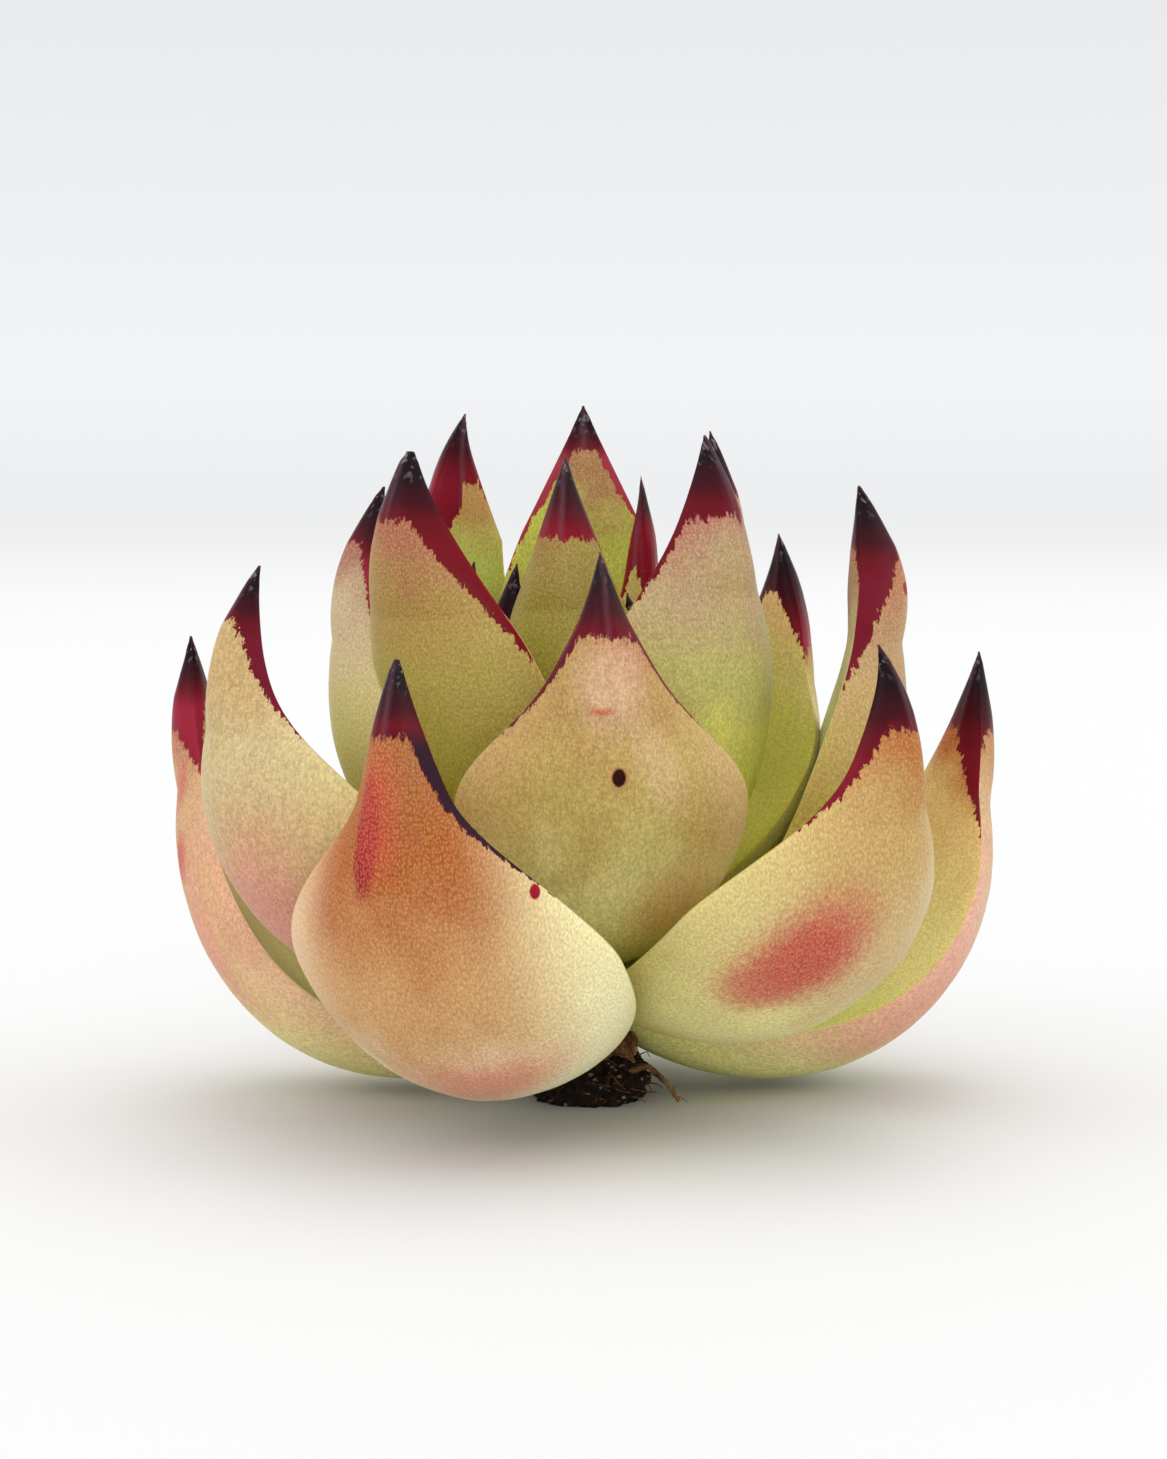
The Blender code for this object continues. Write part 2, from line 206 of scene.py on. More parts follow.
# A leaf's skin as a grid of rings and sides in mm. With it come each ring's outward direction, and for each
# point its place (mm across from the middle, mm from the tip, inner face or not) and its mm from the margin.
def leafGrid(plan, rings, sides, look):
    azimuth = math.radians(plan["azimuth"])
    outward = np.array([math.cos(azimuth), math.sin(azimuth), 0.0])
    leftward = np.array([-math.sin(azimuth), math.cos(azimuth), 0.0])
    start, end = math.radians(plan["start"]), math.radians(plan["end"])
    first = np.array([plan["footRadius"], plan["foot"]])
    last = np.array([plan["reach"], plan["height"]])
    second = first + plan["startArm"] * np.array([math.cos(start), math.sin(start)])
    third = last - plan["endArm"] * np.array([math.cos(end), math.sin(end)])
    step = np.linspace(0, 1, 400)[:, None]
    midline = ((1 - step) ** 3 * first + 3 * (1 - step) ** 2 * step * second
               + 3 * (1 - step) * step ** 2 * third + step ** 3 * last)
    travelled = np.r_[0, np.cumsum(np.linalg.norm(np.diff(midline, axis=0), axis=1))]
    length = travelled[-1]
    along = (1 - (1 - np.linspace(0, 1, rings + 1)) ** 1.35)[:-1]   # closer together towards the tip
    slope = np.gradient(midline, axis=0)
    middle = np.stack([np.interp(along * length, travelled, midline[:, k]) for k in (0, 1)], 1)
    tangent = np.stack([np.interp(along * length, travelled, slope[:, k]) for k in (0, 1)], 1)
    tangent /= np.linalg.norm(tangent, axis=1)[:, None]
    bellySide = np.stack([tangent[:, 1], -tangent[:, 0]], 1)

    fromTip = length * (1 - along)
    # The neck below the cap is drawn in, and the cap itself is a cone with a blunt end.
    drawnIn = 1 - look["neck"] * np.exp(-((fromTip - 12.0) / 6.0) ** 2)
    half = 0.5 * plan["width"] * outlineShare(along, leafRule["footWidth"], plan["point"]) * drawnIn
    cone = look["cone"][0] + look["cone"][1] * fromTip
    stouter = 0.5 * (cone - half + np.sqrt((half - cone) ** 2 + 0.3 ** 2)) - 0.15
    half = half + stouter * np.clip((20 - fromTip) / 7, 0, 1)
    half *= np.clip(0.7 + 0.3 * fromTip, 0, 1)
    depth = outlineShare(along, leafRule["footDepth"], look["depthPoint"]) * (0.6 + 0.4 * drawnIn)
    plump = 1.6 * (look["cone"][0] + look["plump"] * fromTip) / (plan["belly"] + plan["face"])
    fuller = 0.5 * (plump - depth + np.sqrt((plump - depth) ** 2 + 0.0025))
    depth = depth + fuller * np.clip((15 - fromTip) / 9, 0, 1)
    depth *= np.clip(0.7 + 0.3 * fromTip, 0, 1)
    keen = np.clip((along - 0.30) / 0.35, 0, 1) * np.clip((fromTip - 2.0) / 6.0, 0, 1)
    keen = (keen ** 2 * (3 - 2 * keen))[:, None]
    cup = look["cup"] * leafRule["cupping"] * half * np.sin(math.pi * along) ** 0.7
    turn = np.linspace(0, 2 * math.pi, sides, endpoint=False)
    across = np.cos(turn)
    belly = (1 - across ** 2) ** (0.60 + 0.15 * keen) * (np.sin(turn) >= 0)
    face = (1 - across ** 2) ** (0.9 - 0.2 * (1 - keen)) * (np.sin(turn) < 0)
    hooked = look["hook"] * np.clip(1 - fromTip / 5.0, 0, 1) ** 2
    wide = half[:, None] * across
    thick = depth[:, None] * (plan["belly"] * belly - plan["face"] * face) - cup[:, None] * across ** 2
    twist = np.radians(look["twist"]) * np.clip((along - 0.25) / 0.5, 0, 1)[:, None]
    sideways = wide * np.cos(twist) - thick * np.sin(twist) + (plan["lean"] * along ** 2 + hooked)[:, None]
    deep = wide * np.sin(twist) + thick * np.cos(twist)
    points = (middle[:, :1, None] * outward + bellySide[:, :1, None] * deep[..., None] * outward
              + sideways[..., None] * leftward)
    points[..., 2] = middle[:, 1][:, None] + bellySide[:, 1][:, None] * deep
    apex = last[0] * outward + (plan["lean"] + look["hook"]) * leftward
    apex[2] = last[1]
    away = bellySide[:, 0][:, None] * outward + bellySide[:, 1][:, None] * np.array([0, 0, 1.0])

    quarter = sides // 2
    edges = np.linalg.norm(np.diff(np.concatenate([points, points[:, :1]], 1), axis=1), axis=2)
    bellyArc = np.concatenate([np.zeros((rings, 1)), np.cumsum(edges[:, :quarter], 1)], 1)
    faceArc = np.concatenate([np.zeros((rings, 1)), np.cumsum(edges[:, quarter:][:, ::-1], 1)], 1)
    place = np.zeros((rings, sides, 3))
    margin = np.zeros((rings, sides))
    for arc, columns in ((bellyArc, np.arange(0, quarter + 1)),
                         (faceArc, np.r_[0, np.arange(sides - 1, quarter - 1, -1)])):
        whole = arc[:, -1:]
        place[:, columns, 0] = whole / 2 - arc
        margin[:, columns] = np.minimum(arc, whole - arc)
    place[..., 1] = fromTip[:, None]
    place[..., 2] = np.sin(turn) < -1e-6
    place[:, [0, quarter], 2] = 0.5
    return {"points": points, "apex": apex, "away": away, "place": place, "margin": margin,
            "length": length, "across": across}


# The unit normals of a grid that closes on itself across.
def gridNormals(points):
    alongLeaf = np.gradient(points, axis=0)
    acrossLeaf = np.roll(points, -1, 1) - np.roll(points, 1, 1)
    normal = np.cross(acrossLeaf, alongLeaf)
    normal /= np.maximum(np.linalg.norm(normal, axis=2), 1e-9)[..., None]
    return normal


# The flesh's own unevenness: slow swells, the lip along the margin, and small lumps where a leaf has them.
def addRelief(grid, seed, lumps):
    points, place, margin = grid["points"], grid["place"], grid["margin"]
    normal = gridNormals(points)
    fade = np.clip(margin / 2.0, 0, 1) * np.clip(place[..., 1] / 4.0, 0, 1)
    swell = np.array([noise.noise(Vector((x / 7.0, y / 10.0, seed + 5 * side)))
                      + 0.35 * noise.noise(Vector((x / 2.2, y / 3.4, seed + 9 + 5 * side)))
                      for x, y, side in place.reshape(-1, 3)]).reshape(margin.shape)
    out = 0.16 * swell * fade
    lip = np.exp(-(margin / 0.45) ** 2) * np.clip(1 - place[..., 1] / (0.62 * grid["length"]), 0, 1) ** 0.5
    out += 0.09 * lip * np.clip(place[..., 1] / 3.0, 0, 1)
    for x, y, radius, height in lumps:
        apart = np.hypot(place[..., 0] - x, place[..., 1] - y) / radius
        out += height * np.exp(-apart ** 2) * (place[..., 2] < 0.5)
    dry = np.clip(1 - place[..., 1] / 3.5, 0, 1)
    grain = np.array([noise.noise(Vector((x / 0.35, y / 0.7, seed + 20)))
                      for x, y, _ in place.reshape(-1, 3)])
    out += 0.05 * dry * grain.reshape(margin.shape)
    grid["points"] = points + out[..., None] * normal


# Leaves grow pressed together: a leaf's skin is moved outward wherever a younger leaf already is.
def pressAgainst(grid, younger, deepest, gap=0.12):
    points, away = grid["points"], grid["away"]
    rings, sides = points.shape[:2]
    push = np.zeros((rings, sides))
    for sweep in range(2):
        for tree, low, high in younger:
            here = points + push[..., None] * away[:, None, :]
            near = np.all((here > low - 0.1) & (here < high + 0.1), axis=2)
            for i, j in np.argwhere(near):
                spot, normal, _, distance = tree.ray_cast(here[i, j], away[i], deepest)
                if spot is not None and normal.dot(Vector(away[i])) > 0:
                    push[i, j] += distance + gap
    # The flesh round a pressed place gives way with it.
    eased = push.copy()
    for sweep in range(10):
        padded = np.pad(eased, ((1, 1), (0, 0)), mode="edge")
        mean = 0.25 * (padded[2:] + padded[:-2] + np.roll(eased, 1, 1) + np.roll(eased, -1, 1))
        eased = np.maximum(push, 0.97 * mean)
    # The outer skin stays outside the inner one.
    mirror = (sides - np.arange(sides)) % sides
    bellyColumns = np.arange(1, sides // 2)
    moved = points + eased[..., None] * away[:, None, :]
    thick = np.einsum("ijk,ik->ij", moved[:, bellyColumns] - moved[:, mirror[bellyColumns]], away)
    towardsTip = np.clip(grid["place"][:, bellyColumns, 1] / 6, 0, 1)
    least = 0.6 * np.sqrt(1 - grid["across"][bellyColumns] ** 2) * towardsTip
    eased[:, bellyColumns] += np.maximum(0, least - thick)
    grid["points"] = points + eased[..., None] * away[:, None, :]
    return eased


# A leaf's surface for casting rays at, with its lowest and highest corners.
def gridTree(grid):
    points = grid["points"]
    rings, sides = points.shape[:2]
    flat = [tuple(p) for p in points.reshape(-1, 3)] + [tuple(grid["apex"])]
    tree = BVHTree.FromPolygons(flat, gridFaces(rings, sides))
    return tree, points.reshape(-1, 3).min(0), points.reshape(-1, 3).max(0)


# A grid's points in metres and, for each, its place on the leaf and its mm from the margin.
def gridPoints(grid):
    points = [tuple(p * mm) for p in grid["points"].reshape(-1, 3)] + [tuple(grid["apex"] * mm)]
    places = np.concatenate([grid["place"].reshape(-1, 3), [[0.0, 0.0, 0.5]]])
    return points, places, np.r_[grid["margin"].ravel(), 0.0]


# Stores each point's place on its leaf in the mesh, where the skin's patterns read it.
def storePlaces(piece, places, margins=None):
    where = piece.data.attributes.new("leafPlace", "FLOAT_VECTOR", "POINT")
    where.data.foreach_set("vector", places.ravel())
    if margins is not None:
        edge = piece.data.attributes.new("fromMargin", "FLOAT", "POINT")
        edge.data.foreach_set("value", margins)


# The quads between neighbouring rings, the fan at the tip and the closing face at the foot.
def gridFaces(rings, sides):
    faces = []
    for i in range(rings - 1):
        for j in range(sides):
            k = (j + 1) % sides
            faces.append((i * sides + j, i * sides + k, (i + 1) * sides + k, (i + 1) * sides + j))
    tip = rings * sides
    faces += [((rings - 1) * sides + j, (rings - 1) * sides + (j + 1) % sides, tip) for j in range(sides)]
    faces.append(tuple(range(sides))[::-1])
    return faces


# What the skin looks like where a leaf has nothing of its own. Colours run from the foot to below the cap.
# A mark is: mm across, mm from the tip, half sizes in mm, turn in degrees, colour, strength, softness.
plainLook = {
    "skin": ("#C9C98C", "#C6C07A", "#B4A85E", "#AE9658", "#B08458"),
    "left": ("#D8C29A", 0.55), "right": ("#D8C29A", 0.55),  # the flesh towards each margin: pinker where it is pigment, paler where it is painted sheen
    "inner": ("#B4B44A", "#B4AE4E", "#B9A85A", "#B7A155", "#B5844C"),
    "darkShare": 1.6,  # how much of the crimson is blackened
    "cap": 8.0, "innerCap": 7.0,  # mm from the tip that is crimson to black
    "leftRun": (16.0, 1.2), "rightRun": (16.0, 1.2),  # how far the crimson runs down each margin, how wide
    "innerLeftRun": (16.0, 1.6), "innerRightRun": (16.0, 1.6),
    "runColour": "#7C1228",
    "marks": [], "lumps": [],
    "depthPoint": 1.25, "plump": 0.34,  # how full the upper leaf is; the cap's depth slope
    "press": 7.0,  # mm it can be pressed aside
    "hook": 0.0, "cup": 1.0, "twist": 0.0,  # mm the tip bends aside; share of cupping; degrees
    "neck": 0.18,  # how far the leaf is drawn in below the cap, as a share
    "cone": (0.12, 0.36),  # mm of half width at the tip, and gained per mm below it
}

leafLooks = {
    0: {
        "skin": ("#DEDEB0", "#EAE2BA", "#BE905E", "#9C521C", "#9A5A2C"),
        "left": ("#DCBC96", 0.8), "right": ("#E4E0AC", 0.8),
        "darkShare": 1.35, "cap": 6.7, "leftRun": (9.0, 1.0), "rightRun": (21.8, 2.4),
        "runColour": "#260A1C", "cone": (0.42, 0.33),
        "marks": [
            (-2.1, 14.6, 1.5, 5.2, 8, "#820614", 1.0, 0.5),
            (-1.0, 13.0, 2.6, 6.0, 8, "#B84030", 0.55, 0.9),
            (13.5, 20.8, 0.6, 0.65, 0, "#8E0A22", 1.0, 0.3),
            (3.0, 38.0, 9.0, 5.0, 0, "#CC6E58", 0.75, 1.0),
            (-2.0, 47.0, 9.0, 6.0, 0, "#D79C82", 0.5, 1.0),
        ],
    },
    1: {
        "skin": ("#E4E088", "#E6E498", "#C8AC80", "#BC986C", "#AC7A4C"),
        "left": ("#DA9E90", 0.8), "right": ("#D9B48E", 0.6),
        "cup": 0.6, "twist": -9.0,
        "cap": 8.0, "leftRun": (10.0, 1.2), "rightRun": (10.0, 1.2),
        "inner": ("#C8C463", "#C8C463", "#D8C880", "#D0AE6C", "#A7561E"),
        "innerCap": 8.0, "innerLeftRun": (19.0, 3.6), "innerRightRun": (9.0, 1.0),
        "runColour": "#701020",
        "marks": [
            (-12.0, 38.0, 5.0, 9.0, 0, "#D68A7C", 0.7, 1.0), (9.0, 36.0, 8.0, 12.0, 0, "#D2907C", 0.5, 1.0)],
    },
    2: {
        "skin": ("#E0D488", "#E2D88E", "#B8944C", "#B99068", "#A66048"),
        "left": ("#D9A992", 0.6), "right": ("#D8A08C", 0.7),
        "darkShare": 0.9, "cap": 9.5, "leftRun": (12.0, 2.0), "rightRun": (14.0, 3.0), "hook": 0.9,
        "runColour": "#8C1A30",
        "marks": [
            (6.5, 21.5, 1.8, 2.4, 0, "#B83840", 0.8, 0.9),
            (4.0, 15.0, 1.6, 3.0, 0, "#B84848", 0.6, 0.9),
            (9.0, 30.0, 4.0, 9.0, 0, "#D58A7C", 0.7, 1.0),
            (-8.0, 34.0, 6.0, 10.0, 0, "#D58A7C", 0.25, 1.0),
        ],
    },
    3: {
        "skin": ("#C8B860", "#E0D892", "#C2A878", "#B3935A", "#A4642F"),
        "left": ("#C9BC78", 0.75), "right": ("#D9C3A0", 0.8),
        "cap": 7.6, "leftRun": (17.0, 2.2), "rightRun": (8.5, 1.0), "runColour": "#740E20", "hook": -0.9,
        "marks": [
            (-7.6, 27.0, 4.6, 7.6, 32, "#B24C3E", 0.95, 0.9),
            (-9.8, 31.6, 3.2, 3.8, 32, "#BC5E4E", 0.6, 0.9),
        ],
    },
    5: {
        "skin": ("#C8A878", "#CCA862", "#BF966E", "#BAA67A", "#B39665"),
        "left": ("#DCC6A6", 0.7), "right": ("#CFC682", 0.6),
        "cap": 5.5, "leftRun": (6.5, 0.8), "rightRun": (15.5, 2.4), "runColour": "#681024",
        "marks": [(1.5, 32.0, 9.0, 8.0, 0, "#C47C74", 0.75, 1.0)],
    },
    6: {
        "skin": ("#C4C050", "#C9C450", "#AE9852", "#A8865E", "#A06446"),
        "left": ("#B49A52", 0.5), "right": ("#D9BCA0", 0.7),
        "cup": 0.8, "twist": -4.0, "depthPoint": 0.85, "plump": 0.42, "cone": (0.15, 0.46),
        "cap": 6.8, "leftRun": (19.5, 4.6), "rightRun": (8.0, 0.8), "runColour": "#6A0E20",
        "inner": ("#B8BC64", "#BCC070", "#C0C47C", "#B8AE6E", "#9A6A50"),
        "innerCap": 6.0, "innerLeftRun": (10.0, 1.0), "innerRightRun": (12.0, 1.0),
        "marks": [(-0.9, 10.0, 0.8, 0.7, 0, "#8A1026", 0.95, 0.35)],
    },
    7: {
        "skin": ("#B4AE5E", "#B0A458", "#B09A58", "#AE6A4C", "#962834"),
        "inner": ("#B0B458", "#B4BA5A", "#B8C05C", "#B8C15C", "#B0874B"),
        "cone": (0.15, 0.42), "hook": -0.7, "cap": 8.5, "leftRun": (20.0, 3.0), "rightRun": (18.0, 3.0),
        "innerCap": 7.0, "innerLeftRun": (9.0, 0.6), "innerRightRun": (19.0, 5.5),
        "runColour": "#7A1224", "darkShare": 1.0,
    },
    8: {
        "skin": ("#E4DCA4", "#E4DCA0", "#AE9854", "#A6844C", "#AC7254"),
        "left": ("#BE9468", 0.55), "right": ("#C9A47C", 0.6),
        "darkShare": 1.35, "cap": 7.8, "runColour": "#5A1428",
        "leftRun": (18.0, 1.7), "rightRun": (18.5, 1.5),
        "marks": [
            (0.0, 12.0, 4.0, 4.2, 0, "#CDAA8C", 0.6, 1.0),
            (4.6, 19.0, 2.4, 5.0, -30, "#C9AC86", 0.5, 1.0),
            (3.0, 27.0, 4.0, 5.5, 0, "#C0B878", 0.5, 1.0),
            (0.4, 19.3, 0.66, 0.8, 0, "#2C0606", 1.0, 0.3),
            (0.4, 19.3, 1.1, 1.2, 0, "#A8442E", 0.4, 0.9),
            (-1.0, 14.0, 1.3, 0.4, 0, "#B8563C", 0.7, 0.8),
            (6.5, 33.0, 5.0, 5.5, 0, "#BC7854", 0.55, 1.0),
        ],
        "lumps": [
            (-1.2, 11.8, 1.0, 0.16), (-0.6, 15.8, 1.1, 0.14),
            (0.8, 10.6, 0.8, 0.10), (0.4, 19.3, 0.9, -0.10)],
    },
    9: {
        "skin": ("#C8C04C", "#D0C850", "#A09A40", "#A08A40", "#8B2A20"),
        "inner": ("#C8C040", "#C8BF38", "#B7B13C", "#C5B769", "#C8A46D"),
        "cone": (0.12, 0.42), "cap": 8.0, "leftRun": (13.5, 2.6), "rightRun": (12.0, 2.0), "innerCap": 6.0,
        "innerLeftRun": (13.0, 2.4), "innerRightRun": (12.0, 1.4), "runColour": "#86182E",
    },
    10: {
        "skin": ("#B5AC60", "#B5AC67", "#B5AC67", "#B59F7D", "#956050"),
        "neck": 0.1, "cone": (0.2, 0.42), "cap": 6.0, "runColour": "#8A2030",
        "leftRun": (18.0, 1.6), "rightRun": (18.0, 1.6),
    },
    11: {
        "skin": ("#C4C45C", "#D8D462", "#ABA45C", "#A58C67", "#9E5C50"),
        "left": ("#AE9C62", 0.45), "right": ("#C4BE92", 0.55),
        "neck": 0.06, "cone": (0.2, 0.50), "darkShare": 1.25, "cap": 8.0, "runColour": "#600C18",
        "leftRun": (18.0, 1.1), "rightRun": (9.5, 0.8),
        "marks": [(-1.5, 14.0, 3.2, 3.4, 0, "#A88A54", 0.4, 1.0)],
    },
    12: {
        "inner": ("#C0BC50", "#C8C050", "#C4BA50", "#B1B345", "#A07449"),
        "neck": 0.06, "cone": (0.2, 0.48), "cap": 7.5, "leftRun": (18.0, 1.4), "rightRun": (18.0, 1.4),
        "darkShare": 0.9, "innerCap": 4.6, "innerLeftRun": (15.0, 1.1), "innerRightRun": (17.5, 1.5),
        "runColour": "#96303C",
    },
    13: {
        "skin": ("#B4B050", "#BEB24E", "#A39546", "#9F8143", "#9B6044"),
        "left": ("#C0C09A", 0.75), "right": ("#B4945C", 0.3),
        "neck": 0.04, "cone": (0.60, 0.56), "cap": 6.3, "runColour": "#6C0C18",
        "leftRun": (8.5, 0.8), "rightRun": (21.5, 3.4),
        "marks": [(-7.4, 20.8, 0.3, 0.6, 0, "#7E4030", 0.8, 0.4)],
    },
    14: {"cap": 6.5},
    16: {
        "skin": ("#A8A848", "#A8A848", "#9F953F", "#988542", "#96623A"),
        "left": ("#B5A876", 0.5), "right": ("#A8A048", 0.3),
        "darkShare": 1.15, "cap": 8.2, "leftRun": (9.6, 0.6), "rightRun": (9.0, 0.6), "runColour": "#8A0E24",
    },
    17: {
        "cap": 9.0, "innerCap": 9.5, "runColour": "#7A0E1E", "darkShare": 0.8,
        "cone": (0.08, 0.15), "neck": 0.55,
    },
}


# How black the crimson is from the tip down, then each pattern's mm across and along, detail and roughness.
# The skin's real grain is 0.1 to 0.2 mm. Grain and dots are drawn coarser, so that they show.
blackening = {0.10: "#0A0608", 0.38: "#1C080F", 0.60: "#3C0812", 0.74: "#5C0A16"}
skinPatterns = {
    "clouds": (7.0, 9.0, 3.0, 0.5), "streaks": (0.45, 2.6, 2.0, 0.5), "grit": (0.5, 0.7, 2.0, 0.5),
    "grain": (0.24, 0.34, 1.0, 0.5), "tatter": (0.55, 1.3, 4.0, 0.72),
}


# Succulent leaf skin: a waxy cuticle over water-filled, translucent flesh. That gives the eye a satin
# surface, light that bleeds through the edges, fine pale cell dots, whose paleness is partly painted glints,
# and crimson pigment at the tip. The wax's IOR of 1.42 is typical, and its reflection is held down from
# there.
def leafSkin(rank, look, length):
    finish, tree, shader = newFinish(
        f"waxyLeafSkin{rank + 1:02d}", IOR=1.42, Specular_IOR_Level=0.07,
        Subsurface_Weight=0.35, Subsurface_Radius=(1.0, 0.75, 0.3), Subsurface_Scale=0.9 * mm,
        Coat_Weight=0.05, Coat_Roughness=0.25)

    place = addNode(tree, "Attribute", {}, attribute_name="leafPlace")
    margin = addNode(tree, "Attribute", {}, attribute_name="fromMargin").outputs["Fac"]
    parts = addNode(tree, "SeparateXYZ", {0: place.outputs["Vector"]})
    across, fromTip, inner = parts.outputs
    seed = 3.7 * rank

    # A pattern's own space, in cells of so many mm across and along the leaf.
    def cells(acrossMm, alongMm):
        return addNode(tree, "VectorMath", {
            0: place.outputs["Vector"], 1: (1 / acrossMm, 1 / alongMm, 7.0), 2: (seed, seed, seed)},
            operation="MULTIPLY_ADD")

    clouds, streaks, grit, grain, tatter = [addNode(tree, "TexNoise", {
        "Vector": cells(acrossMm, alongMm), "Scale": 1.0, "Detail": detail, "Roughness": rough})
        for acrossMm, alongMm, detail, rough in skinPatterns.values()]
    dots = addNode(tree, "TexVoronoi", {"Vector": cells(0.26, 0.33), "Scale": 1.0, "Randomness": 0.8},
                   voronoi_dimensions="2D")

    # Flesh colour from foot to neck, outside and inside, moved about a little by the clouds.
    alongShare = addNode(tree, "Math", {0: fromTip, 1: -1.0 / length, 2: 1.0}, operation="MULTIPLY_ADD")
    drift = addNode(tree, "Math", {0: clouds, 1: 0.24, 2: -0.12}, operation="MULTIPLY_ADD")
    ripeness = addNode(tree, "Math", {0: alongShare, 1: drift}, operation="ADD")
    flesh = []
    for colours in (look["skin"], look["inner"]):
        stops = [(share, linear(colour)) for share, colour in zip((0.10, 0.35, 0.55, 0.74, 0.87), colours)]
        ramp = addNode(tree, "ValToRGB", {0: ripeness}, stops)
        ramp.color_ramp.interpolation = "EASE"
        flesh.append(ramp)
    outside = flesh[0]
    breadth = max(6.0, 0.5 * look["width"])
    # Towards each margin the flesh takes that side's colour: the pinker ones are pigment, the paler ones
    # painted sheen.
    for side, (colour, strength) in ((-1, look["left"]), (1, look["right"])):
        towards = addNode(tree, "MapRange", {
            0: across, 1: side * 0.30 * breadth, 2: side * 1.25 * breadth, 3: 0.0, 4: strength},
            interpolation_type="SMOOTHSTEP")
        outside = addNode(tree, "Mix", {0: towards, 6: outside, 7: linear(colour)})
    skin = addNode(tree, "Mix", {0: inner, 6: outside, 7: flesh[1]})

    # Blushes lie under the cell dots, and crisp spots over them.
    outerOnly = addNode(tree, "Math", {0: 1.0, 1: inner}, operation="SUBTRACT")

    def stained(under, crisp):
        for x, y, halfX, halfY, turn, colour, strength, softness in look["marks"]:
            if (softness < 0.4) != crisp:
                continue
            local = addNode(tree, "Mapping", {
                "Vector": place.outputs["Vector"], "Location": (x, y, 0),
                "Rotation": (0, 0, math.radians(turn)), "Scale": (halfX, halfY, 1e6)}, vector_type="TEXTURE")
            apart = addNode(tree, "VectorMath", {0: local}, operation="LENGTH").outputs["Value"]
            broken = addNode(tree, "Math", {0: grit, 1: 0.7 * softness, 2: -0.35 * softness},
                             operation="MULTIPLY_ADD")
            reach = addNode(tree, "Math", {0: apart, 1: broken}, operation="ADD")
            mask = addNode(tree, "MapRange", {
                0: reach, 1: 1.0 + 0.35 * softness, 2: 1.0 - 0.75 * softness, 3: 0.0, 4: strength},
                interpolation_type="SMOOTHSTEP")
            outerMask = addNode(tree, "Math", {0: mask, 1: outerOnly}, operation="MULTIPLY")
            under = addNode(tree, "Mix", {0: outerMask, 6: under, 7: linear(colour)})
        return under

    skin = stained(skin, False)

    # Pale cell dots, in rows along the leaf, their paleness partly painted glints, and faint streaks between
    # them.
    dotAndGlintMask = addNode(tree, "MapRange", {0: dots, 1: 0.55, 2: 0.05, 3: 0.0, 4: 0.22},
                      interpolation_type="SMOOTHSTEP")
    paleDotAndGlint = addNode(tree, "Mix", {0: 0.55, 6: skin, 7: linear("#F1E6C0")})
    skin = addNode(tree, "Mix", {0: dotAndGlintMask, 6: skin, 7: paleDotAndGlint})
    streakLight = addNode(tree, "MapRange", {0: streaks, 1: 0.3, 2: 0.7, 3: 0.96, 4: 1.04})
    skin = addNode(tree, "VectorMath", {0: skin, 3: streakLight}, operation="SCALE")
    grainLight = addNode(tree, "MapRange", {0: grain, 1: 0.32, 2: 0.68, 3: 0.84, 4: 1.16})
    skin = addNode(tree, "VectorMath", {0: skin, 3: grainLight}, operation="SCALE")
    skin = stained(skin, True)

    # Crimson: a cap at the tip that runs down each margin as a wedge, with a tattered lower edge.
    onRight = addNode(tree, "Math", {0: across, 1: 0.0}, operation="GREATER_THAN")
    frayed = addNode(tree, "Math", {0: tatter, 1: 1.9, 2: margin}, operation="MULTIPLY_ADD")
    frayed = addNode(tree, "Math", {0: grit, 1: 0.8, 2: frayed}, operation="MULTIPLY_ADD")
    frayed = addNode(tree, "Math", {0: frayed, 1: 1.35}, operation="SUBTRACT")
    reached = []
    for cap, leftRun, rightRun in ((look["cap"], look["leftRun"], look["rightRun"]),
                                   (look["innerCap"], look["innerLeftRun"], look["innerRightRun"])):
        wedges = [addNode(tree, "MapRange", {0: frayed, 1: 0.0, 2: wide, 3: run, 4: cap})
                  for run, wide in (leftRun, rightRun)]
        both = addNode(tree, "Mix", {0: onRight, 2: wedges[0], 3: wedges[1]})
        reached.append(both.outputs[0])
    limit = addNode(tree, "Mix", {0: inner, 2: reached[0], 3: reached[1]})
    raggedness = addNode(tree, "Math", {0: tatter, 1: 3.4, 2: -1.7}, operation="MULTIPLY_ADD")
    finer = addNode(tree, "Math", {0: grit, 1: 1.0, 2: raggedness}, operation="MULTIPLY_ADD")
    past = addNode(tree, "Math", {0: fromTip, 1: limit.outputs[0]}, operation="SUBTRACT")
    inside = addNode(tree, "Math", {0: past, 1: finer}, operation="ADD")
    crimson = addNode(tree, "MapRange", {0: inside, 1: 0.70, 2: 0.35, 3: 0.0, 4: 1.0},
                      interpolation_type="SMOOTHSTEP")
    ageing = addNode(tree, "Math", {0: clouds, 1: 2.0, 2: fromTip}, operation="MULTIPLY_ADD")
    darkReach = look["cap"] * look["darkShare"]
    aged = addNode(tree, "Math", {0: ageing, 1: 1 / darkReach}, operation="MULTIPLY")
    stops = [(share, linear(colour)) for share, colour in (*blackening.items(), (0.95, look["runColour"]))]
    age = addNode(tree, "ValToRGB", {0: aged}, stops)
    rim = addNode(tree, "MapRange", {0: inside, 1: -1.3, 2: 0.7, 3: 0.0, 4: 0.45})
    pigment = addNode(tree, "Mix", {0: rim, 6: age, 7: linear("#6E0A1C")})
